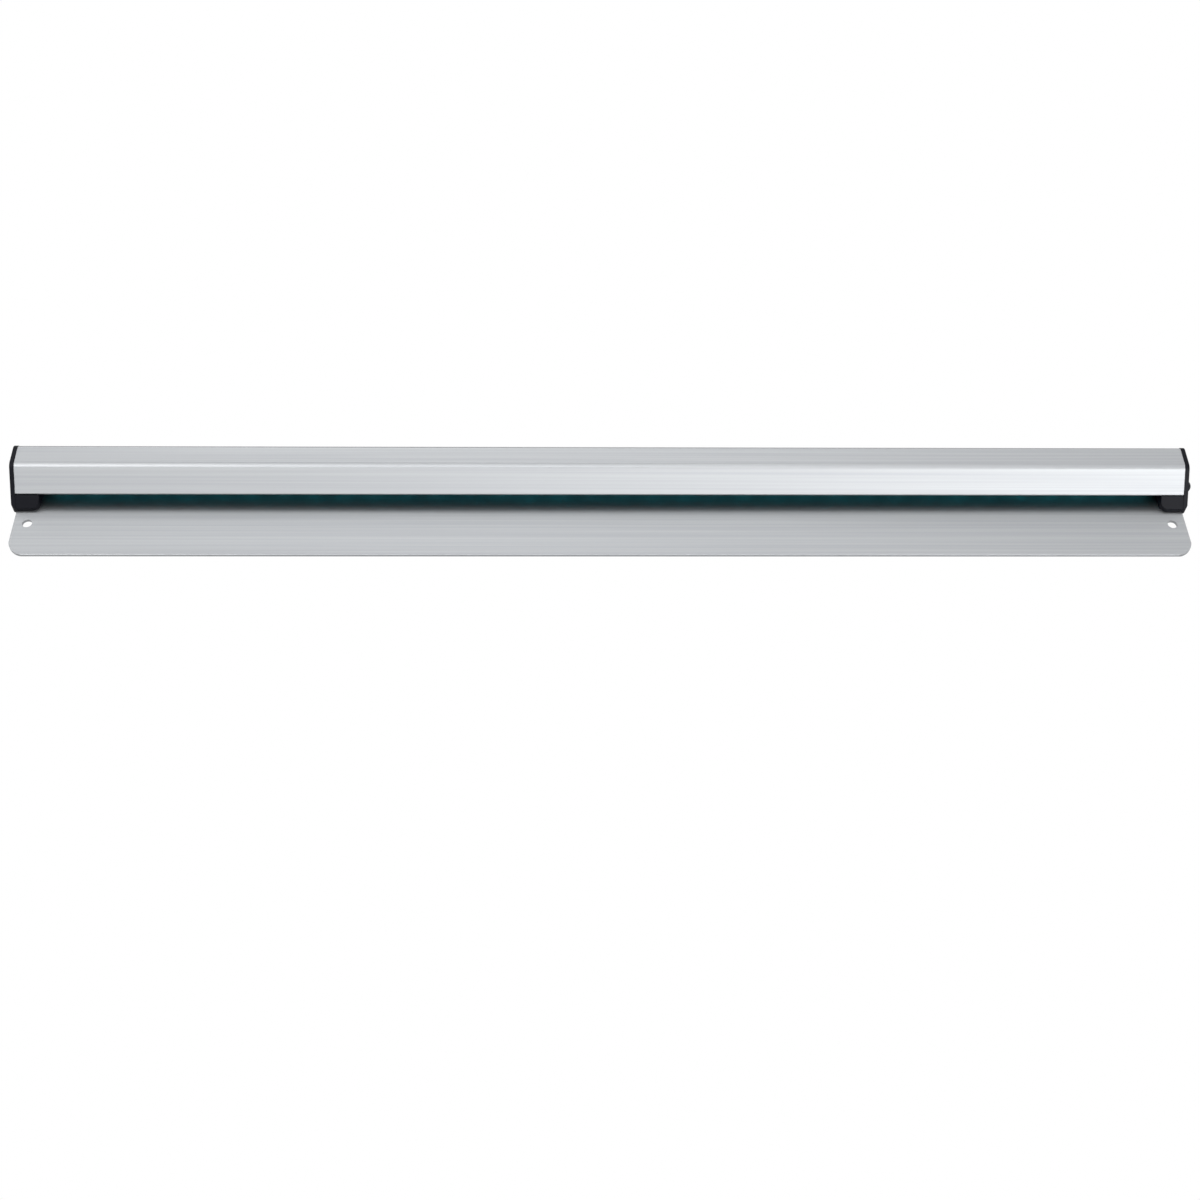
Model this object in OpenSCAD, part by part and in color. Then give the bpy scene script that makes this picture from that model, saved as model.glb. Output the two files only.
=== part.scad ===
// Order ticket rail: a wall-hung aluminium extrusion whose row of loose glass balls pinches
// paper slips against its back plate, closed at each end by a moulded cap.
// X runs along the rail, the wall is the plane Y = 0 and the front faces -Y.
// The origin is midway between the two screw holes, on the wall.

/* [Rail] */
// Length over both end caps
overall_l = 610; // [300:1:915]
// Thickness of the plate that lies on the wall
plate_t = 1.6; // [1.2:0.1:2.4]
// Thickness of the hood
hood_t = 1.2; // [1.2:0.1:2]
// Height of the hood's lip above the plate's lower edge
lip_h = 34; // [30:0.5:60]
// Radius of the plate's lower corners
corner_r = 9.5; // [3:0.5:12]
// Radius along the plate's lower edge
edge_r = 0.6; // [0.2:0.1:0.6]

/* [Hood] */
// Distance of the lip's front edge from the plate's face
lip_out = 7; // [6:0.1:9]
// Rise from the lip to the crease
crease_rise = 10.8; // [9:0.1:16]
// Lean of the front above the crease, in degrees out of plumb
front_lean = 2; // [0:0.5:5]
// Fall of the top towards the front, in degrees
top_fall = 16; // [5:1:22]
// Outer radius of the crease
crease_r = 4.5; // [2.2:0.1:5]
// Outer radius of the shoulder between front and top
shoulder_r = 2.4; // [2.2:0.1:4]
// Radius on the lip's front edge
lip_r = 0.7; // [0.3:0.1:0.7]
// Radius on the lip's inner edge
lip_edge_r = 0.4; // [0.2:0.1:0.4]
// Radius where the hood's inside meets the plate
root_r = 1; // [0.4:0.1:2]

/* [Marbles] */
// Diameter of one marble
marble_d = 15.9; // [10:0.1:16]
// Free play between a marble and what it rests against
marble_gap = 0.25; // [0.15:0.05:0.4]
// Free play between neighbours in the row
marble_play = 0.05; // [0.05:0.05:0.4]
// How far a slip can push a marble out from the plate
marble_throw = 0.4; // [0.3:0.1:4]
// How far a slip can lift a marble
marble_lift = 2.4; // [1:0.1:4]
// Headroom over a marble that is lifted right up
head_gap = 0.4; // [0.3:0.05:2]

/* [Screw holes] */
// Diameter of a screw hole
hole_d = 5; // [3:0.1:6]
// Distance of a hole's centre from the rail's end
hole_inset = 7; // [5:0.5:20]
// Height of the holes above the plate's lower edge
hole_h = 20.5; // [14:0.5:22]

/* [End caps] */
// Thickness of a cap's flange
flange_t = 2.3; // [1.2:0.1:4]
// How far the flange stands proud of the hood
flange_proud = 0.2; // [0.1:0.1:1]
// Length of the plug and the foot inside the rail
plug_l = 12; // [8:0.5:25]
// Clearance round the plug
plug_gap = 0.15; // [0.05:0.05:0.3]
// Width of a crush rib on the plug
rib_w = 1.2; // [0.6:0.1:2]
// How far the cap's foot hangs below the lip
foot_drop = 5; // [4:0.5:6]
// Radius of the foot's outer lower corner
foot_out_r = 2; // [0.5:0.1:3]
// Radius of the foot's inner lower corner
foot_in_r = 4; // [0.5:0.1:4]
// Width across the moulding nub on the right cap
nub_d = 6.5; // [4:0.5:8]
// Height of the moulding nub
nub_h = 2; // [0.3:0.1:2.5]
// How far down the ramp the nub sits, as a share of the ramp
nub_down = 0.7; // [0.4:0.05:0.8]

/* [Hidden] */
$fn = 64;
// Steps in the arc of one rounded corner
arc_steps = 8;
// How far a cutter runs past what it cuts
over = 1;
rail_colour = "silver";
cap_colour = "#20232A";
marble_colour = "#6FA8A0";

// Section points are [u, z]: u out from the plate's face, z up from the plate's lower edge
wall_u = -plate_t;
rail_l = overall_l - 2 * flange_t;
marble_r = marble_d / 2;

// Lip, crease and the ramp between them
lip_front = [lip_out, lip_h];
crease = [2 * marble_gap + marble_d + marble_throw + hood_t, lip_h + crease_rise];
ramp_a = atan2(crease.y - lip_front.y, crease.x - lip_front.x);
ramp_dir = [cos(ramp_a), sin(ramp_a)];

// The hood ends in a square edge; a slip goes in between its inner corner and the plate
lip_inner = lip_front + hood_t * [-ramp_dir.y, ramp_dir.x];

// A marble at rest between the ramp and the plate, and lifted right up
rest_u = marble_gap + marble_r;
rest_rise = (hood_t + rest_u + (rest_u - lip_front.x) * ramp_dir.y) / ramp_dir.x;
marble_rest = [rest_u, lip_h + rest_rise];
marble_up = marble_rest + [0, marble_lift];

// The top clears a marble that is lifted right up
top_normal = [sin(top_fall), cos(top_fall)];
top_level = top_normal * marble_up + marble_r + head_gap + hood_t;
front_dir = [sin(front_lean), cos(front_lean)];
shoulder = crease + front_dir * (top_level - top_normal * crease) / (top_normal * front_dir);
function top_z(u, inset = 0) = (top_level - inset - top_normal.x * u) / top_normal.y;
wall_top = [wall_u, top_z(wall_u)];

// Points where the ramp's face, moved out by grow, passes a height
function ramp_at(z, grow) =
    lip_front + grow * [ramp_dir.y, -ramp_dir.x] + ramp_dir * (z - lip_h + grow * ramp_dir.x) / ramp_dir.y;

// End cap
foot_z = lip_h - foot_drop;

// Row of marbles between the two plugs
row_l = rail_l - 2 * plug_l;
marble_count = floor(row_l / (marble_d + marble_play));
marble_pitch = row_l / marble_count;
function marble_name(i) = str("marble_", i < 10 ? "0" : "", i);

function unit(v) = v / norm(v);

// Corner b between a and c, moved in from both sides by d
function inset(a, b, c, d) =
    let (to_a = unit(a - b), to_c = unit(c - b), half = acos(to_a * to_c) / 2)
    b + unit(to_a + to_c) * d / sin(half);

// Corner b between a and c as an arc of radius r
function rounded(a, b, c, r) =
    let (
        to_a = unit(a - b), to_c = unit(c - b), half = acos(to_a * to_c) / 2,
        centre = b + unit(to_a + to_c) * r / sin(half),
        first = b + to_a * r / tan(half) - centre,
        last = b + to_c * r / tan(half) - centre,
        start = atan2(first.y, first.x),
        turn = (atan2(last.y, last.x) - start + 540) % 360 - 180
    )
    [for (i = [0 : arc_steps]) let (t = start + turn * i / arc_steps) centre + r * [cos(t), sin(t)]];

// A closed outline from [point, radius] pairs
function outline(corners) =
    let (n = len(corners))
    [for (i = [0 : n - 1])
        let (here = corners[i], before = corners[(i + n - 1) % n][0], after = corners[(i + 1) % n][0])
        each here[1] > 0 ? rounded(before, here[0], after, here[1]) : [here[0]]];

// A section from x0 to x1 along the rail
module along(x0, x1, section)
    translate([x0, -plate_t, -hole_h]) rotate([90, 0, 90])
        linear_extrude(x1 - x0) polygon([for (p = section) [-p.x, p.y]]);

// Cuts a lower corner to radius r, seen from the front; the body lies towards side
module lower_corner(x, z, r, side)
    translate([x, 0, z - hole_h]) scale([side, 1, 1]) difference() {
        translate([-over, -over - plate_t - shoulder.x, -over])
            cube([r + over, 2 * over + plate_t + shoulder.x, r + over]);
        translate([r, 0, r]) rotate([90, 0, 0])
            cylinder(r = r, h = 4 * (over + plate_t + shoulder.x), center = true);
    }

function rail_section() =
    let (
        inner_crease = inset(shoulder, crease, lip_front, hood_t),
        inner_shoulder = inset(wall_top, shoulder, crease, hood_t)
    )
    outline([
        [[0, 0], edge_r],
        [[0, top_z(0, hood_t)], root_r],
        [inner_shoulder, shoulder_r - hood_t],
        [inner_crease, crease_r - hood_t],
        [lip_inner, lip_edge_r],
        [lip_front, lip_r],
        [crease, crease_r],
        [shoulder, shoulder_r],
        [wall_top, edge_r],
        [[wall_u, 0], edge_r]
    ]);

module rail()
    color(rail_colour) difference() {
        along(-rail_l / 2, rail_l / 2, rail_section());
        for (side = [-1, 1]) {
            lower_corner(side * rail_l / 2, 0, corner_r, -side);
            translate([side * (rail_l / 2 - hole_inset), 0, 0]) rotate([90, 0, 0])
                cylinder(d = hole_d, h = 2 * (plate_t + over), center = true);
        }
    }

// The flange follows the hood, runs on down the ramp's line and ends at the foot
function flange_section() =
    let (
        top = inset([wall_u, 0], wall_top, shoulder, -flange_proud),
        front = inset(wall_top, shoulder, crease, -flange_proud),
        middle = inset(shoulder, crease, lip_front, -flange_proud)
    )
    outline([
        [[wall_u, top.y], edge_r],
        [front, shoulder_r + flange_proud],
        [middle, crease_r + flange_proud],
        [ramp_at(foot_z, flange_proud), edge_r],
        [[wall_u, foot_z], 0]
    ]);

// The chamber's inside, drawn in by gap
function chamber(gap) =
    let (
        deep = hood_t + gap,
        inner_shoulder = inset(wall_top, shoulder, crease, deep),
        inner_crease = inset(shoulder, crease, lip_front, deep),
        floor_z = lip_h + deep
    )
    [[gap, floor_z], [gap, top_z(gap, deep)], inner_shoulder, inner_crease, ramp_at(floor_z, -deep)];

function plug_section() =
    let (c = chamber(plug_gap), keep = plug_gap + root_r)
    outline([[c[0], 0], [c[1], keep], [c[2], shoulder_r - hood_t + plug_gap],
        [c[3], crease_r - hood_t + plug_gap], [c[4], lip_edge_r]]);

// A rib halfway along one side of the plug, reaching the chamber's wall
function rib_section(k) =
    let (
        p = chamber(plug_gap), q = chamber(0),
        along_side = unit(p[k + 1] - p[k]) * rib_w / 2,
        foot = (p[k] + p[k + 1]) / 2,
        out = unit([p[k].y - p[k + 1].y, p[k + 1].x - p[k].x]),
        depth = out * (q[k] - foot)
    )
    [foot - along_side - out * rib_w, foot + along_side - out * rib_w,
        foot + along_side + out * depth, foot - along_side + out * depth];

// The foot hangs through the slot and fills the corner under the lip
function foot_section() =
    let (
        lip_under = lip_h - plug_gap,
        slot_u = lip_inner.x - plug_gap,
        joint_z = lip_h + hood_t + 2 * plug_gap + over
    )
    [[plug_gap, foot_z], ramp_at(foot_z, 0), ramp_at(lip_under, 0), [slot_u, lip_under],
        [slot_u, joint_z], [plug_gap, joint_z]];

// A cap at the left end of the rail
module end_cap()
    difference() {
        union() {
            along(-overall_l / 2, -rail_l / 2, flange_section());
            along(-rail_l / 2, -rail_l / 2 + plug_l, plug_section());
            along(-rail_l / 2, -rail_l / 2 + plug_l, foot_section());
            for (k = [0 : len(chamber(0)) - 2]) along(-rail_l / 2, -rail_l / 2 + plug_l, rib_section(k));
        }
        lower_corner(-overall_l / 2, foot_z, foot_out_r, 1);
        lower_corner(-rail_l / 2 + plug_l, foot_z, foot_in_r, -1);
    }

// A dome on the left cap's outer face that reaches the ramp's edge
module nub() {
    dome_r = (nub_d * nub_d / 4 + nub_h * nub_h) / (2 * nub_h);
    nub_at = crease + nub_down * (lip_front - crease) + nub_d / 2 * [-ramp_dir.y, ramp_dir.x];
    translate([-overall_l / 2, -plate_t - nub_at.x, nub_at.y - hole_h]) intersection() {
        translate([dome_r - nub_h, 0, 0]) sphere(r = dome_r);
        translate([-nub_h - over, -nub_d, -nub_d])
            cube([nub_h + over + flange_t / 2, 2 * nub_d, 2 * nub_d]);
    }
}

module left_end_cap()
    color(cap_colour) end_cap();

module right_end_cap()
    color(cap_colour) mirror([1, 0, 0]) union() {
        end_cap();
        nub();
    }

module marble(i)
    color(marble_colour)
        translate([-row_l / 2 + (i - 0.5) * marble_pitch, -plate_t - marble_rest.x, marble_rest.y - hole_h])
            sphere(d = marble_d);

rail();
left_end_cap();
right_end_cap();
for (i = [1 : marble_count]) marble(i);
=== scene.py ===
"""Looks of a wall-hung order ticket rail: an aluminium extrusion with a creased hood, a moulded
cap at each end and a row of loose glass marbles inside.

Sizes are in millimetres and meet Blender's metres only through MM. X runs along the rail, the
wall is the plane Y = 0, the front faces -Y and the origin is midway between the screw holes.
"""

import logging
import math
from collections.abc import Callable
from dataclasses import dataclass, field
from enum import Enum

import bmesh
import bpy
from mathutils import Matrix, Vector


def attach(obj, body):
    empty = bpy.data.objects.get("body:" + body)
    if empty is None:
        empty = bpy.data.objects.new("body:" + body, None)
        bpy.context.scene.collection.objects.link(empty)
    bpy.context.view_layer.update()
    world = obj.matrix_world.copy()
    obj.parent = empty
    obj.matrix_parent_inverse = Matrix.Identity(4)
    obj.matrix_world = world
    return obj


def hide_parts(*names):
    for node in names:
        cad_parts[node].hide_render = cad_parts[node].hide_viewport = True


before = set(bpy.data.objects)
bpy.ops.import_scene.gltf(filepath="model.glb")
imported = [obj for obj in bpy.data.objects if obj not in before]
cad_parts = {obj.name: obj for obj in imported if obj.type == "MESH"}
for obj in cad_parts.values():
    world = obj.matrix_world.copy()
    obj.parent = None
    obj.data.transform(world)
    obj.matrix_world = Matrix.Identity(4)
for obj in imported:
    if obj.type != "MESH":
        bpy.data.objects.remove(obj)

LOG = logging.getLogger("ticket_rail")
MM = 0.001
WHITE = "#FFFFFF"
# Steps in the arc of one rounded corner, and round a whole circle
ARC_STEPS = 10
ROUND_STEPS = 96
# How far a cutter runs past what it cuts, and a moulded boss into what carries it
OVERLAP = 1.0
# A step too small to see
HAIR = 0.05
# Length of the extrusion, between the caps' flanges
RAIL_LENGTH = 605.4
# A quarter of a turn, where a shader counts in turns
QUARTER_TURN = 0.25
# Edges that turn by more than this stay crisp
CRISP_ANGLE = math.radians(32)
# Slack for finding a vertex by its place
NEAR = 1e-3


class Side(Enum):
    """An end of the rail; the value is the sign of its X."""

    LEFT = -1
    RIGHT = 1


def linear(code: str) -> tuple[float, float, float, float]:
    """Turns an sRGB hex colour into the linear colour that a shader takes.

    Args:
        code: Six hex digits after a hash sign.

    Returns:
        Red, green, blue and alpha.
    """
    parts = [int(code[i : i + 2], 16) / 255 for i in (1, 3, 5)]
    red, green, blue = (c / 12.92 if c <= 0.04045 else ((c + 0.055) / 1.055) ** 2.4 for c in parts)
    return red, green, blue, 1.0


def add_node(tree: bpy.types.NodeTree, kind: str, settings: dict, links: dict) -> bpy.types.Node:
    """Adds a node with its settings and the links that feed it.

    Args:
        tree: Node tree that gets the node.
        kind: Blender's type name of the node.
        settings: Values by attribute name, or by input name or number.
        links: Pairs of node and output name, by input name or number.

    Returns:
        The new node.
    """
    node = tree.nodes.new(kind)
    for key, value in settings.items():
        if isinstance(key, str) and hasattr(node, key):
            setattr(node, key, value)
        else:
            node.inputs[key].default_value = value
    for key, (source, output) in links.items():
        tree.links.new(source.outputs[output], node.inputs[key])
    return node


def new_material(name: str) -> tuple[bpy.types.Material, bpy.types.Node]:
    """Makes a material with the usual shader and nothing else.

    Args:
        name: Name of the material.

    Returns:
        The material and its Principled shader.
    """
    material = bpy.data.materials.new(name)
    material.use_nodes = True
    return material, material.node_tree.nodes["Principled BSDF"]


def two_tone(
    tree: bpy.types.NodeTree,
    pattern: bpy.types.Node,
    colours: tuple[str, str],
    stops: tuple[float, float] = (0.0, 1.0),
) -> bpy.types.Node:
    """Adds a ramp that turns a pattern into two colours.

    Args:
        tree: Node tree that gets the ramp.
        pattern: Noise that the ramp colours.
        colours: Hex colours of the pattern's low and high parts.
        stops: Where in the noise's range one colour starts to fade into the other, and where it ends.

    Returns:
        The ramp.
    """
    ramp = add_node(tree, "ShaderNodeValToRGB", {}, {"Fac": (pattern, "Fac")})
    for element, colour, stop in zip(ramp.color_ramp.elements, colours, stops):
        element.color, element.position = linear(colour), stop
    return ramp


@dataclass(frozen=True)
class AnodisedAluminium:
    """Extruded aluminium, brushed across and satin anodised.

    The brushing spreads reflections along the rail; the die's own lines still show faintly along it.
    """

    colour: str = "#A6A8AA"
    line_colour: str = "#A0A2A5"
    roughness: float = 0.48
    line_roughness: float = 0.51
    # How much more the brushing spreads light along the rail than round it
    brushing: float = 0.82
    # Die lines are about 0.2 mm apart; they are drawn coarser so that they show
    line_gap: float = 1.1
    line_length: float = 260.0
    line_depth: float = 0.004
    line_detail: float = 3.0
    # The stretch of the noise's range over which a line fades into the bare metal
    line_fade: tuple[float, float] = (0.35, 0.65)

    def material(self) -> bpy.types.Material:
        """Builds the material, with its lines drawn out along X.

        Returns:
            The material.
        """
        material, shader = new_material("anodised aluminium")
        tree = material.node_tree
        across = 1 / (self.line_gap * MM)
        stretch = (1 / (self.line_length * MM), across, across)
        place = add_node(tree, "ShaderNodeTexCoord", {}, {})
        drawn = add_node(tree, "ShaderNodeMapping", {"Scale": stretch}, {"Vector": (place, "Object")})
        lines = add_node(
            tree,
            "ShaderNodeTexNoise",
            {"Scale": 1.0, "Detail": self.line_detail},
            {"Vector": (drawn, "Vector")},
        )
        tint = two_tone(tree, lines, (self.line_colour, self.colour), self.line_fade)
        start, end = self.line_fade
        gloss = add_node(
            tree,
            "ShaderNodeMapRange",
            {"From Min": start, "From Max": end, "To Min": self.line_roughness, "To Max": self.roughness},
            {"Value": (lines, "Fac")},
        )
        relief = add_node(
            tree,
            "ShaderNodeBump",
            {"Strength": 1.0, "Distance": self.line_depth * MM},
            {"Height": (lines, "Fac")},
        )
        tree.links.new(tint.outputs["Color"], shader.inputs["Base Color"])
        tree.links.new(gloss.outputs["Result"], shader.inputs["Roughness"])
        tree.links.new(relief.outputs["Normal"], shader.inputs["Normal"])
        # The tangent runs round the rail, so a quarter turn lays the spread along it
        around = add_node(tree, "ShaderNodeTangent", {"direction_type": "RADIAL", "axis": "X"}, {})
        tree.links.new(around.outputs["Tangent"], shader.inputs["Tangent"])
        shader.inputs["Anisotropic"].default_value = self.brushing
        shader.inputs["Anisotropic Rotation"].default_value = QUARTER_TURN
        shader.inputs["Metallic"].default_value = 1.0
        return material


@dataclass(frozen=True)
class BlackMoulding:
    """Injection-moulded black ABS with a fine spark texture, which dulls its shine."""

    colour: str = "#0A0B13"
    pit_colour: str = "#07080E"
    roughness: float = 0.46
    ior: float = 1.54
    shine: float = 0.1
    # The texture's grain is about 0.1 mm; it is drawn coarser so that it shows
    grain: float = 0.5
    grain_depth: float = 0.02
    grain_detail: float = 2.0
    grain_strength: float = 0.6

    def material(self) -> bpy.types.Material:
        """Builds the material.

        Returns:
            The material.
        """
        material, shader = new_material("black ABS, spark textured")
        tree = material.node_tree
        place = add_node(tree, "ShaderNodeTexCoord", {}, {})
        grain = add_node(
            tree,
            "ShaderNodeTexNoise",
            {"Scale": 1 / (self.grain * MM), "Detail": self.grain_detail},
            {"Vector": (place, "Object")},
        )
        tint = two_tone(tree, grain, (self.pit_colour, self.colour))
        relief = add_node(
            tree,
            "ShaderNodeBump",
            {"Strength": self.grain_strength, "Distance": self.grain_depth * MM},
            {"Height": (grain, "Fac")},
        )
        tree.links.new(tint.outputs["Color"], shader.inputs["Base Color"])
        tree.links.new(relief.outputs["Normal"], shader.inputs["Normal"])
        shader.inputs["Roughness"].default_value = self.roughness
        shader.inputs["IOR"].default_value = self.ior
        shader.inputs["Specular IOR Level"].default_value = self.shine
        return material


@dataclass(frozen=True)
class MarbleGlass:
    """Soda-lime glass, fire polished, sea green with deeper veils drawn into it."""

    colour: str = "#16C6D2"
    veil_colour: str = "#089EAC"
    roughness: float = 0.02
    ior: float = 1.52
    clearness: float = 0.2
    # Width of one veil
    veil: float = 5.0
    veil_detail: float = 2.0
    veil_swirl: float = 1.5
    # The stretch of the noise's range over which a veil fades out
    veil_fade: tuple[float, float] = (0.4, 0.6)

    def material(self) -> bpy.types.Material:
        """Builds the material.

        Returns:
            The material.
        """
        material, shader = new_material("sea-green marble glass")
        tree = material.node_tree
        place = add_node(tree, "ShaderNodeTexCoord", {}, {})
        veils = add_node(
            tree,
            "ShaderNodeTexNoise",
            {"Scale": 1 / (self.veil * MM), "Detail": self.veil_detail, "Distortion": self.veil_swirl},
            {"Vector": (place, "Object")},
        )
        tint = two_tone(tree, veils, (self.veil_colour, self.colour), self.veil_fade)
        tree.links.new(tint.outputs["Color"], shader.inputs["Base Color"])
        shader.inputs["Roughness"].default_value = self.roughness
        shader.inputs["IOR"].default_value = self.ior
        shader.inputs["Transmission Weight"].default_value = self.clearness
        return material


@dataclass(frozen=True)
class Corner:
    """A corner of a drawn section, at u out from the plate's face and z up from its lower edge."""

    place: Vector
    radius: float = 0.0


def moved_in(before: Vector, here: Vector, after: Vector, distance: float) -> Vector:
    """Moves a corner in from both of its sides.

    Args:
        before: The corner before it.
        here: The corner to move.
        after: The corner after it.
        distance: How far it moves in; less than zero moves it out.

    Returns:
        The moved corner.
    """
    back, on = (before - here).normalized(), (after - here).normalized()
    half = back.angle(on) / 2
    return here + (back + on).normalized() * distance / math.sin(half)


@dataclass(frozen=True)
class RailSection:
    """The extrusion's cross section: plate, hood, lip, and the chamber that holds the marbles."""

    plate_t: float = 1.6
    hood_t: float = 1.2
    hole_h: float = 20.5
    edge_r: float = 0.6
    lip_out: float = 7.0
    lip_h: float = 34.0
    lip_r: float = 0.7
    lip_edge_r: float = 0.4
    crease_rise: float = 10.8
    crease_r: float = 4.5
    front_lean: float = 2.0
    shoulder_r: float = 2.4
    top_fall: float = 16.0
    root_r: float = 1.0
    marble_d: float = 15.9
    marble_gap: float = 0.25
    marble_throw: float = 0.4
    marble_lift: float = 2.4
    head_gap: float = 0.4

    @property
    def lip_front(self) -> Vector:
        """The lip's front corner."""
        return Vector((self.lip_out, self.lip_h))

    @property
    def crease(self) -> Vector:
        """The crease across the hood's front."""
        depth = 2 * self.marble_gap + self.marble_d + self.marble_throw + self.hood_t
        return Vector((depth, self.lip_h + self.crease_rise))

    @property
    def ramp(self) -> Vector:
        """The direction up the ramp, from the lip to the crease."""
        return (self.crease - self.lip_front).normalized()

    @property
    def lip_inner(self) -> Vector:
        """The lip's inner corner, across its square edge."""
        return self.lip_front + self.hood_t * Vector((-self.ramp.y, self.ramp.x))

    @property
    def top_normal(self) -> Vector:
        """The direction square to the hood's top."""
        fall = math.radians(self.top_fall)
        return Vector((math.sin(fall), math.cos(fall)))

    @property
    def top_level(self) -> float:
        """How far the top lies along its own normal, clear of a marble that is lifted right up."""
        rest_u = self.marble_gap + self.marble_d / 2
        rest_rise = (self.hood_t + rest_u + (rest_u - self.lip_front.x) * self.ramp.y) / self.ramp.x
        lifted = Vector((rest_u, self.lip_h + rest_rise + self.marble_lift))
        return self.top_normal @ lifted + self.marble_d / 2 + self.head_gap + self.hood_t

    @property
    def shoulder(self) -> Vector:
        """The corner where the hood's front meets its top."""
        lean = math.radians(self.front_lean)
        rise = Vector((math.sin(lean), math.cos(lean)))
        below_top = self.top_level - self.top_normal @ self.crease
        return self.crease + rise * below_top / (self.top_normal @ rise)

    def top_z(self, u: float, inset: float = 0.0) -> float:
        """Gives the height of the hood's top.

        Args:
            u: How far out from the plate's face.
            inset: How far the top is moved in first.

        Returns:
            The height above the plate's lower edge.
        """
        return (self.top_level - inset - self.top_normal.x * u) / self.top_normal.y

    @property
    def wall_top(self) -> Vector:
        """The top corner on the wall."""
        return Vector((-self.plate_t, self.top_z(-self.plate_t)))

    def ramp_at(self, z: float, grow: float) -> Vector:
        """Finds where the ramp's face passes a height.

        Args:
            z: The height.
            grow: How far the face is moved out first.

        Returns:
            The point on the moved face.
        """
        start = self.lip_front + grow * Vector((self.ramp.y, -self.ramp.x))
        return start + self.ramp * (z - start.y) / self.ramp.y

    def rail_corners(self) -> list[Corner]:
        """Gives the extrusion's outline.

        Returns:
            The corners, from the plate's lower edge up round the chamber and back down the wall.
        """
        inner_shoulder = moved_in(self.wall_top, self.shoulder, self.crease, self.hood_t)
        inner_crease = moved_in(self.shoulder, self.crease, self.lip_front, self.hood_t)
        return [
            Corner(Vector((0, 0)), self.edge_r),
            Corner(Vector((0, self.top_z(0, self.hood_t))), self.root_r),
            Corner(inner_shoulder, self.shoulder_r - self.hood_t),
            Corner(inner_crease, self.crease_r - self.hood_t),
            Corner(self.lip_inner, self.lip_edge_r),
            Corner(self.lip_front, self.lip_r),
            Corner(self.crease, self.crease_r),
            Corner(self.shoulder, self.shoulder_r),
            Corner(self.wall_top, self.edge_r),
            Corner(Vector((-self.plate_t, 0)), self.edge_r),
        ]

    def flange_corners(self, proud: float, foot_z: float) -> list[Corner]:
        """Gives a cap flange's outline.

        Args:
            proud: How far it stands out past the hood.
            foot_z: Height of its lower edge.

        Returns:
            The corners, from the wall round the front.
        """
        top = moved_in(Vector((-self.plate_t, 0)), self.wall_top, self.shoulder, -proud)
        return [
            Corner(Vector((-self.plate_t, top.y)), self.edge_r),
            Corner(moved_in(self.wall_top, self.shoulder, self.crease, -proud), self.shoulder_r + proud),
            Corner(moved_in(self.shoulder, self.crease, self.lip_front, -proud), self.crease_r + proud),
            Corner(self.ramp_at(foot_z, proud), self.edge_r),
            Corner(Vector((-self.plate_t, foot_z))),
        ]

    def chamber(self, gap: float) -> list[Vector]:
        """Gives the corners of the chamber's inside.

        Args:
            gap: How far they are drawn in from the chamber's walls.

        Returns:
            The corners, from the slot up the plate and round the front.
        """
        deep = self.hood_t + gap
        floor_z = self.lip_h + deep
        return [
            Vector((gap, floor_z)),
            Vector((gap, self.top_z(gap, deep))),
            moved_in(self.wall_top, self.shoulder, self.crease, deep),
            moved_in(self.shoulder, self.crease, self.lip_front, deep),
            self.ramp_at(floor_z, -deep),
        ]

    def plug_corners(self, gap: float) -> list[Corner]:
        """Gives the outline of a plug that fills the chamber.

        Args:
            gap: Clearance to the chamber's walls.

        Returns:
            The corners, in the chamber's order.
        """
        radii = (
            0.0,
            gap + self.root_r,
            gap + self.shoulder_r - self.hood_t,
            gap + self.crease_r - self.hood_t,
            self.lip_edge_r,
        )
        return [Corner(p, r) for p, r in zip(self.chamber(gap), radii)]

    def foot_corners(self, gap: float, foot_z: float) -> list[Corner]:
        """Gives the outline of a foot that hangs through the slot and fills the corner under the lip.

        Args:
            gap: Clearance to the rail.
            foot_z: Height of the foot's underside.

        Returns:
            The corners, from the plate round the front.
        """
        under, inner = self.lip_h - gap, self.lip_inner.x - gap
        joint = self.lip_h + self.hood_t + 2 * gap + OVERLAP
        # The back stands a hair off the plug's, so that no two faces of the cap lie in one plane
        back = gap + HAIR
        return [
            Corner(Vector((back, foot_z))),
            Corner(self.ramp_at(foot_z, 0), self.edge_r),
            Corner(self.ramp_at(under, 0)),
            Corner(Vector((inner, under))),
            Corner(Vector((inner, joint))),
            Corner(Vector((back, joint))),
        ]

    def rib_corners(self, gap: float, width: float, side: int) -> list[Corner]:
        """Gives the outline of a crush rib halfway along one side of the plug.

        Args:
            gap: Clearance round the plug, which the rib bridges.
            width: Width of the rib.
            side: Which of the chamber's sides carries it.

        Returns:
            The rib's four corners.
        """
        plug, wall = self.chamber(gap), self.chamber(0)
        along = (plug[side + 1] - plug[side]).normalized()
        out = Vector((-along.y, along.x))
        foot = (plug[side] + plug[side + 1]) / 2
        reach = out @ (wall[side] - foot)
        ends = ((-0.5, -width), (0.5, -width), (0.5, reach), (-0.5, reach))
        return [Corner(foot + along * width * a + out * b) for a, b in ends]

    def placed(self, x: float, place: Vector) -> Vector:
        """Places a point of the section in the frame.

        Args:
            x: Where the section is taken along the rail.
            place: The point in the section.

        Returns:
            The point in the frame, in metres.
        """
        return Vector((x, -self.plate_t - place.x, place.y - self.hole_h)) * MM


def deselect_all() -> None:
    """Deselects every object."""
    bpy.ops.object.select_all(action="DESELECT")


def only(piece: bpy.types.Object) -> None:
    """Makes a piece the only selected object, and the active one."""
    deselect_all()
    piece.select_set(True)
    bpy.context.view_layer.objects.active = piece


def settle(piece: bpy.types.Object) -> None:
    """Puts the piece's own place, turn and scale into its mesh."""
    only(piece)
    bpy.ops.object.transform_apply(location=True, rotation=True, scale=True)


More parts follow.
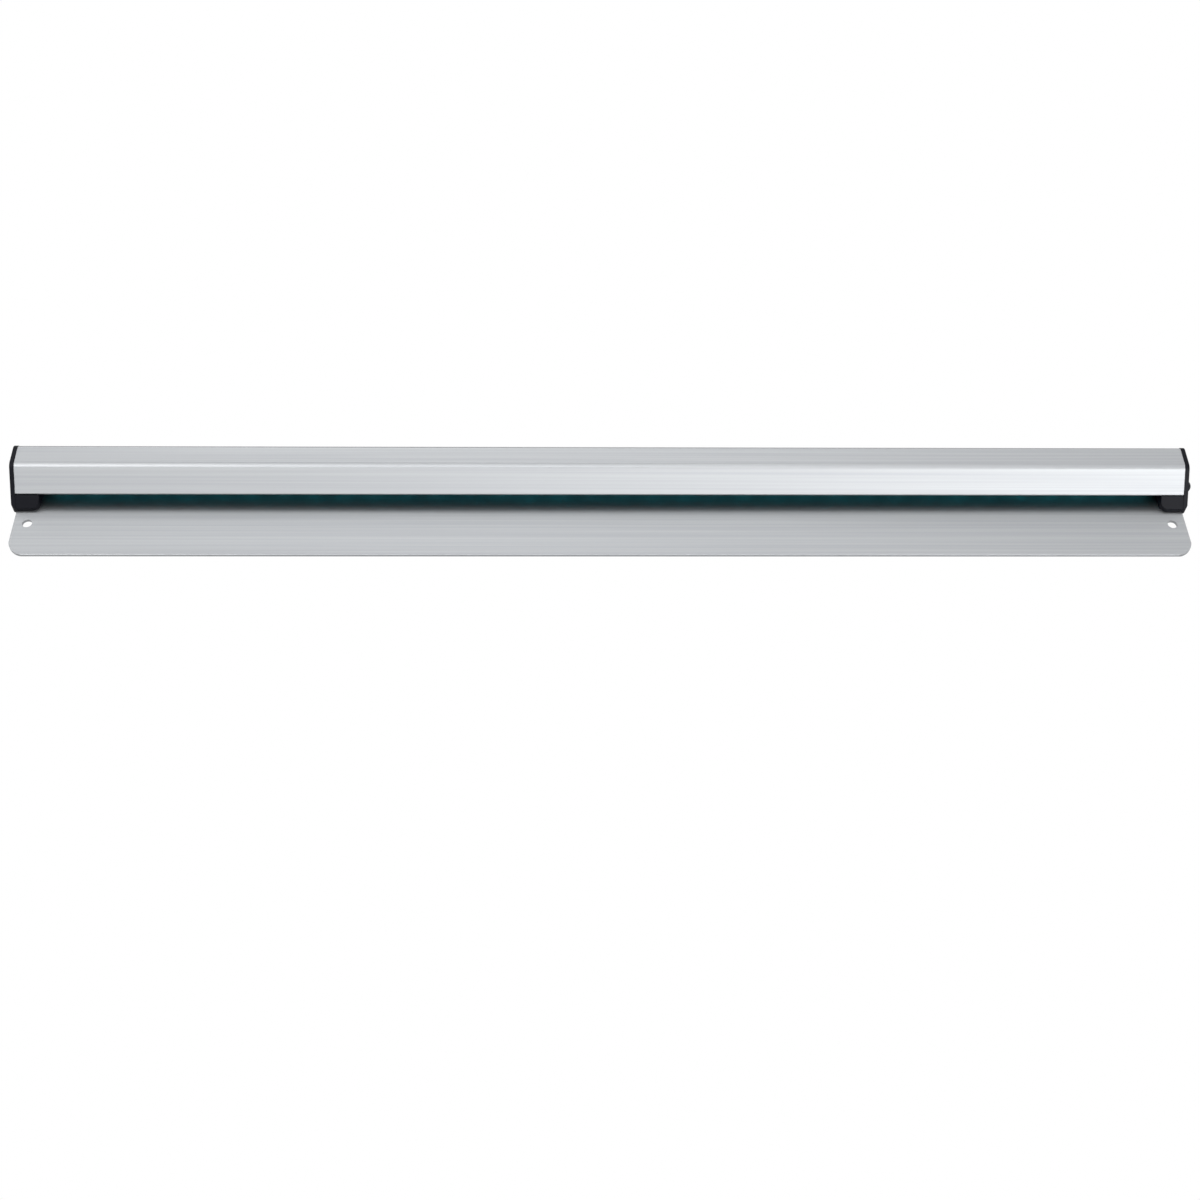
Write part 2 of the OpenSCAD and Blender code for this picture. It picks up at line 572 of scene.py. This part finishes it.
def select_points(piece: bpy.types.Object, test: Callable[[Vector], bool]) -> None:
    """Selects, in edit mode, the vertices that pass a test, with the edges and faces between them.

    Args:
        piece: Object in edit mode.
        test: Takes a vertex's place in metres.
    """
    bpy.ops.mesh.select_mode(type="VERT")
    bpy.ops.mesh.select_all(action="DESELECT")
    mesh = bmesh.from_edit_mesh(piece.data)
    for vertex in mesh.verts:
        if test(vertex.co):
            vertex.select_set(True)
    mesh.select_flush(True)
    bmesh.update_edit_mesh(piece.data)


def extruded(
    name: str, section: RailSection, corners: list[Corner], x0: float, x1: float
) -> bpy.types.Object:
    """Draws a section corner by corner, rounds it and pulls it out along the rail.

    Args:
        name: Name of the new object.
        section: The section that the corners belong to.
        corners: The outline.
        x0: Where the pull starts.
        x1: Where it ends.

    Returns:
        A closed solid at the origin.
    """
    places = [section.placed(x0, c.place) for c in corners]
    deselect_all()
    bpy.ops.mesh.primitive_plane_add(size=MM, location=places[0])
    piece = bpy.context.object
    piece.name = piece.data.name = name
    settle(piece)
    bpy.ops.object.mode_set(mode="EDIT")
    bpy.ops.mesh.select_all(action="SELECT")
    bpy.ops.mesh.merge(type="CENTER")
    for start, end in zip(places, places[1:]):
        bpy.ops.mesh.extrude_region_move(TRANSFORM_OT_translate={"value": end - start})
    bpy.ops.mesh.select_all(action="SELECT")
    bpy.ops.mesh.edge_face_add()
    for i, corner in enumerate(corners):
        if corner.radius:
            here, before, after = places[i], places[i - 1], places[(i + 1) % len(places)]
            half = (before - here).angle(after - here) / 2
            select_points(piece, lambda p: (p - here).length < NEAR * MM)
            bpy.ops.mesh.bevel(
                offset=corner.radius * MM / math.tan(half),
                segments=ARC_STEPS,
                affect="VERTICES",
                clamp_overlap=False,
            )
    bpy.ops.mesh.select_all(action="SELECT")
    bpy.ops.mesh.extrude_region_move(TRANSFORM_OT_translate={"value": ((x1 - x0) * MM, 0, 0)})
    bpy.ops.mesh.select_all(action="SELECT")
    bpy.ops.mesh.normals_make_consistent(inside=False)
    bpy.ops.object.mode_set(mode="OBJECT")
    return piece


def crown(piece: bpy.types.Object, x: float, radius: float, steps: int) -> None:
    """Raises the end face at x by a radius and rounds its rim.

    Args:
        piece: The solid.
        x: Where the end face lies, in millimetres.
        radius: Radius of the rim, in millimetres.
        steps: Steps in its arc.
    """
    only(piece)
    bpy.ops.object.mode_set(mode="EDIT")
    select_points(piece, lambda p: abs(p.x - x * MM) < NEAR * MM)
    angles = [math.pi / 2 * i / steps for i in range(steps + 1)]
    for start, end in zip(angles, angles[1:]):
        bpy.ops.mesh.inset(
            thickness=radius * MM * (math.cos(start) - math.cos(end)),
            depth=radius * MM * (math.sin(end) - math.sin(start)),
        )
    bpy.ops.object.mode_set(mode="OBJECT")


def combine(piece: bpy.types.Object, other: bpy.types.Object, operation: str) -> None:
    """Joins another solid to a piece or cuts it out of it, and removes the other.

    Args:
        piece: The solid that is kept.
        other: The solid that is used up.
        operation: UNION or DIFFERENCE.
    """
    only(piece)
    bpy.ops.object.modifier_add(type="BOOLEAN")
    modifier = piece.modifiers[-1]
    modifier.operation, modifier.object, modifier.solver = operation, other, "EXACT"
    bpy.ops.object.modifier_apply(modifier=modifier.name)
    only(other)
    bpy.ops.object.delete()


def round_lower_corner(
    piece: bpy.types.Object, section: RailSection, x: float, z: float, radius: float, inwards: int
) -> None:
    """Cuts a lower corner round, as seen from the front.

    Args:
        piece: The solid.
        section: The rail's section, whose depth the cut goes through.
        x: Where the corner lies along the rail.
        z: The corner's height above the plate's lower edge.
        radius: Radius of the cut.
        inwards: Sign of the direction from the corner into the solid.
    """
    depth = 2 * (section.plate_t + section.shoulder.x + OVERLAP) * MM
    side = 2 * radius * MM
    low = z - section.hole_h
    deselect_all()
    bpy.ops.mesh.primitive_cube_add(size=1, location=(x * MM, 0, low * MM), scale=(side, depth, side))
    cutter = bpy.context.object
    settle(cutter)
    deselect_all()
    bpy.ops.mesh.primitive_cylinder_add(
        vertices=ROUND_STEPS,
        radius=radius * MM,
        depth=2 * depth,
        location=((x + inwards * radius) * MM, 0, (low + radius) * MM),
        rotation=(math.pi / 2, 0, 0),
    )
    core = bpy.context.object
    settle(core)
    combine(cutter, core, "DIFFERENCE")
    combine(piece, cutter, "DIFFERENCE")


def shade(piece: bpy.types.Object) -> None:
    """Shades a piece smooth over its arcs and keeps its flat faces flat."""
    only(piece)
    bpy.ops.object.shade_smooth_by_angle(angle=CRISP_ANGLE)
    bpy.ops.object.modifier_add(type="WEIGHTED_NORMAL")
    flat = piece.modifiers[-1]
    flat.keep_sharp = True
    bpy.ops.object.modifier_apply(modifier=flat.name)


def dress(piece: bpy.types.Object, material: bpy.types.Material) -> None:
    """Gives a piece its one material."""
    piece.data.materials.clear()
    piece.data.materials.append(material)


@dataclass
class Rail:
    """The extrusion, cut to length, drilled, and rounded at the plate's lower corners."""

    section: RailSection
    length: float = RAIL_LENGTH
    corner_r: float = 9.5
    hole_d: float = 5.0
    hole_inset: float = 7.0
    broken_edge: float = 0.18
    edge_steps: int = 2
    finish: AnodisedAluminium = AnodisedAluminium()

    def build(self) -> None:
        """Extrudes, cuts and drills the rail, and dresses it."""
        end = self.length / 2
        sawn = end - self.broken_edge
        rail = extruded("rail_extrusion", self.section, self.section.rail_corners(), -sawn, sawn)
        for side in Side:
            crown(rail, side.value * sawn, self.broken_edge, self.edge_steps)
            round_lower_corner(rail, self.section, side.value * end, 0, self.corner_r, -side.value)
            self.drill(rail, side)
        shade(rail)
        dress(rail, self.finish.material())
        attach(rail, "rack")
        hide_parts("rail")
        LOG.info("rail: %d faces", len(rail.data.polygons))

    def drill(self, rail: bpy.types.Object, side: Side) -> None:
        """Drills the screw hole at one end.

        Args:
            rail: The extrusion.
            side: Which end.
        """
        deselect_all()
        bpy.ops.mesh.primitive_cylinder_add(
            vertices=ROUND_STEPS,
            radius=self.hole_d / 2 * MM,
            depth=2 * (self.section.plate_t + OVERLAP) * MM,
            location=(side.value * (self.length / 2 - self.hole_inset) * MM, 0, 0),
            rotation=(math.pi / 2, 0, 0),
        )
        drill = bpy.context.object
        settle(drill)
        combine(rail, drill, "DIFFERENCE")


@dataclass
class Nub:
    """The moulding nub on a cap's outer face, a dome that reaches the ramp's edge."""

    section: RailSection
    width: float = 6.5
    height: float = 2.0
    # How far down the ramp it sits, as a share of the way from the crease to the lip
    down: float = 0.7
    steps: int = 48

    def add_to(self, cap: bpy.types.Object, face_x: float) -> None:
        """Domes the nub up from the cap's face.

        Args:
            cap: The cap that carries it.
            face_x: Where the cap's outer face lies.
        """
        dome_r = (self.width**2 / 4 + self.height**2) / (2 * self.height)
        crease, ramp = self.section.crease, self.section.ramp
        inwards = Vector((-ramp.y, ramp.x))
        place = crease + self.down * (self.section.lip_front - crease) + self.width / 2 * inwards
        out = math.copysign(1, face_x)
        deselect_all()
        bpy.ops.mesh.primitive_uv_sphere_add(
            segments=self.steps,
            ring_count=self.steps * 2,
            radius=dome_r * MM,
            location=self.section.placed(face_x + out * (self.height - dome_r), place),
            rotation=(0, math.pi / 2, 0),
        )
        dome = bpy.context.object
        settle(dome)
        bpy.ops.object.mode_set(mode="EDIT")
        bpy.ops.mesh.select_all(action="SELECT")
        bpy.ops.mesh.bisect(
            plane_co=((face_x - out * OVERLAP) * MM, 0, 0),
            plane_no=(out, 0, 0),
            use_fill=True,
            clear_inner=True,
            threshold=NEAR * MM,
        )
        bpy.ops.object.mode_set(mode="OBJECT")
        combine(cap, dome, "UNION")


@dataclass
class EndCap:
    """A moulded cap: a flange over the rail's end, a ribbed plug in the chamber, a foot in the slot."""

    section: RailSection
    side: Side
    rail_length: float = RAIL_LENGTH
    flange_t: float = 2.3
    flange_proud: float = 0.2
    plug_l: float = 12.0
    plug_gap: float = 0.15
    rib_w: float = 1.2
    rib_count: int = 4
    foot_drop: float = 5.0
    foot_out_r: float = 2.0
    foot_in_r: float = 4.0
    rim_r: float = 0.5
    rim_steps: int = 4
    nub: Nub | None = None

    @property
    def name(self) -> str:
        """The cap's node name."""
        return f"{self.side.name.lower()}_end_cap"

    @property
    def foot_z(self) -> float:
        """Height of the foot's underside."""
        return self.section.lip_h - self.foot_drop

    def build(self, material: bpy.types.Material) -> None:
        """Moulds the cap and dresses it.

        Args:
            material: The black moulding.
        """
        cap = self.flange()
        combine(cap, self.foot(), "UNION")
        outwards = self.side.value
        outer_x, inner_x = self.at(-self.flange_t), self.at(self.plug_l)
        round_lower_corner(cap, self.section, outer_x, self.foot_z, self.foot_out_r, -outwards)
        round_lower_corner(cap, self.section, inner_x, self.foot_z, self.foot_in_r, outwards)
        combine(cap, self.plug(), "UNION")
        if self.nub:
            self.nub.add_to(cap, outer_x)
        shade(cap)
        dress(cap, material)
        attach(cap, "rack")
        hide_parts(self.name)
        LOG.info("%s: %d faces", self.name, len(cap.data.polygons))

    def at(self, inwards: float) -> float:
        """Measures along the rail from its end.

        Args:
            inwards: Distance in from the rail's end; less than zero is past it.

        Returns:
            The X of that place.
        """
        return self.side.value * (self.rail_length / 2 - inwards)

    def flange(self) -> bpy.types.Object:
        """Makes the flange, with a soft rim round its outer face.

        Returns:
            The flange.
        """
        corners = self.section.flange_corners(self.flange_proud, self.foot_z)
        rim = self.at(self.rim_r - self.flange_t)
        flange = extruded(f"{self.name}_moulding", self.section, corners, self.at(0), rim)
        crown(flange, rim, self.rim_r, self.rim_steps)
        return flange

    def plug(self) -> bpy.types.Object:
        """Makes the plug that fills the chamber, with its crush ribs.

        Returns:
            The plug.
        """
        corners = self.section.plug_corners(self.plug_gap)
        plug = extruded("plug", self.section, corners, self.at(-OVERLAP), self.at(self.plug_l))
        for rib in self.ribs():
            combine(plug, rib, "UNION")
        return plug

    def foot(self) -> bpy.types.Object:
        """Makes the foot under the lip, with a soft rim at its inner end.

        Returns:
            The foot.
        """
        corners = self.section.foot_corners(self.plug_gap, self.foot_z)
        rim = self.at(self.plug_l - self.rim_r)
        foot = extruded("foot", self.section, corners, self.at(-OVERLAP), rim)
        crown(foot, rim, self.rim_r, self.rim_steps)
        return foot

    def ribs(self) -> list[bpy.types.Object]:
        """Makes the crush ribs, which stop short of the plug's end as a lead-in.

        Returns:
            The ribs, one for each wall of the chamber.
        """
        shapes = [self.section.rib_corners(self.plug_gap, self.rib_w, k) for k in range(self.rib_count)]
        start, end = self.at(-OVERLAP / 2), self.at(self.plug_l - self.rib_w)
        return [extruded("rib", self.section, s, start, end) for s in shapes]


@dataclass
class MarbleRow:
    """The loose marbles: the solids are true balls, so they stay and only get their glass."""

    prefix: str = "marble_"
    finish: MarbleGlass = MarbleGlass()

    def dress(self) -> None:
        """Gives every marble its glass."""
        glass = self.finish.material()
        names = [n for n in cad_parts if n.startswith(self.prefix)]
        for name in names:
            dress(bpy.data.objects[name], glass)
        LOG.info("marbles: %d", len(names))


@dataclass(frozen=True)
class Softbox:
    """A lamp behind cloth that looks at the rail's middle; brightness 1 is that of white paper."""

    name: str
    place: tuple[float, float, float]
    width: float
    height: float
    brightness: float

    @property
    def watts(self) -> float:
        """The power that gives the cloth its brightness."""
        return self.brightness * math.pi * self.width * self.height * MM**2


@dataclass
class Studio:
    """Camera, soft lamps, pale floor and white surroundings."""

    camera_place: tuple[float, float, float] = (-25.0, -633.4, -519.7)
    pitch: float = 36.67
    yaw: float = 1.94
    roll: float = 1.19
    lens: float = 47.52
    sensor: float = 36.0
    # Nearest and farthest distance that the camera sees, in metres
    clip: tuple[float, float] = (0.01, 100.0)
    floor_z: float = -1600.0
    floor_size: float = 30000.0
    floor_colour: str = "#E8E8E8"
    floor_roughness: float = 0.9
    floor_glow: float = 0.85
    ambient: float = 0.25
    lamps: list[Softbox] = field(
        default_factory=lambda: [
            Softbox("upper lamp", (-250.0, -1350.0, 1480.0), 1300.0, 1200.0, 2.1),
            Softbox("front lamp", (-300.0, -1700.0, 250.0), 2200.0, 900.0, 1.1),
            Softbox("left lamp", (-800.0, -1500.0, -430.0), 2300.0, 560.0, 4.0),
            Softbox("lower lamp", (0.0, -640.0, -1050.0), 2600.0, 700.0, 0.65),
            Softbox("lower right lamp", (1150.0, -640.0, -960.0), 1700.0, 700.0, 4.9),
        ]
    )

    def build(self) -> None:
        """Sets up the studio."""
        bpy.context.scene.view_settings.view_transform = "Standard"
        self.add_camera()
        self.add_lamps()
        self.add_floor()
        self.light_world()

    def add_camera(self) -> None:
        """Stands the camera where the picture was taken from, turned as it was held."""
        pitch, yaw, roll = (math.radians(a) for a in (self.pitch, self.yaw, self.roll))
        ahead = Vector((math.sin(yaw) * math.cos(pitch), math.cos(yaw) * math.cos(pitch), math.sin(pitch)))
        level = Vector((math.cos(yaw), -math.sin(yaw), 0))
        down = ahead.cross(level)
        right = math.cos(roll) * level + math.sin(roll) * down
        up = math.sin(roll) * level - math.cos(roll) * down
        deselect_all()
        bpy.ops.object.camera_add()
        camera = bpy.context.object
        turn = Matrix((right, up, -ahead)).transposed().to_4x4()
        camera.matrix_world = Matrix.Translation(Vector(self.camera_place) * MM) @ turn
        camera.data.sensor_width, camera.data.lens = self.sensor, self.lens
        camera.data.clip_start, camera.data.clip_end = self.clip
        bpy.context.scene.camera = camera

    def add_lamps(self) -> None:
        """Hangs the soft lamps and turns them to the rail."""
        for lamp in self.lamps:
            place = Vector(lamp.place) * MM
            turn = (-place).to_track_quat("-Z", "Y").to_euler()
            deselect_all()
            bpy.ops.object.light_add(type="AREA", location=place, rotation=turn)
            light = bpy.context.object
            light.name = lamp.name
            light.data.shape, light.data.energy = "RECTANGLE", lamp.watts
            light.data.size, light.data.size_y = lamp.width * MM, lamp.height * MM

    def add_floor(self) -> None:
        """Lays the pale floor."""
        deselect_all()
        bpy.ops.mesh.primitive_plane_add(size=self.floor_size * MM, location=(0, 0, self.floor_z * MM))
        floor = bpy.context.object
        floor.name = "floor"
        material, shader = new_material("pale floor")
        shader.inputs["Base Color"].default_value = linear(self.floor_colour)
        shader.inputs["Roughness"].default_value = self.floor_roughness
        tree = material.node_tree
        glow = add_node(tree, "ShaderNodeEmission", {"Color": linear(WHITE), "Strength": 1.0}, {})
        share = add_node(
            tree,
            "ShaderNodeMath",
            {"operation": "MULTIPLY", 1: self.floor_glow},
            {0: (self.seen(tree), "Value")},
        )
        lit = add_node(
            tree,
            "ShaderNodeMixShader",
            {},
            {0: (share, "Value"), 1: (shader, "BSDF"), 2: (glow, "Emission")},
        )
        tree.links.new(lit.outputs["Shader"], tree.nodes["Material Output"].inputs["Surface"])
        dress(floor, material)

    def seen(self, tree: bpy.types.NodeTree) -> bpy.types.Node:
        """Adds the nodes that tell the rays that show the surroundings, straight, mirrored or through glass.

        Args:
            tree: Node tree of the floor or the world.

        Returns:
            A node whose value is 1 for those rays and 0 for the light that falls on surfaces.
        """
        ray = add_node(tree, "ShaderNodeLightPath", {}, {})
        shown = (ray, "Is Camera Ray")
        for way in ("Is Glossy Ray", "Is Transmission Ray"):
            either = add_node(tree, "ShaderNodeMath", {"operation": "MAXIMUM"}, {0: shown, 1: (ray, way)})
            shown = (either, "Value")
        return shown[0]

    def light_world(self) -> None:
        """Makes the surroundings white to the eye and in reflections, and dimmer as ambient light."""
        world = bpy.data.worlds.new("white studio")
        bpy.context.scene.world = world
        world.use_nodes = True
        tree = world.node_tree
        tree.nodes.clear()
        ambient = add_node(
            tree, "ShaderNodeBackground", {"Color": linear(WHITE), "Strength": self.ambient}, {}
        )
        white = add_node(tree, "ShaderNodeBackground", {"Color": linear(WHITE), "Strength": 1.0}, {})
        mix = add_node(
            tree,
            "ShaderNodeMixShader",
            {},
            {0: (self.seen(tree), "Value"), 1: (ambient, "Background"), 2: (white, "Background")},
        )
        add_node(tree, "ShaderNodeOutputWorld", {}, {"Surface": (mix, "Shader")})


def main() -> None:
    """Builds the rail and its caps, dresses the marbles and sets up the studio."""
    logging.basicConfig(level=logging.INFO, format="%(message)s")
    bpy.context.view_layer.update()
    section = RailSection()
    Rail(section).build()
    black = BlackMoulding().material()
    EndCap(section, Side.LEFT).build(black)
    EndCap(section, Side.RIGHT, nub=Nub(section)).build(black)
    MarbleRow().dress()
    Studio().build()


if __name__ == "__main__":
    main()
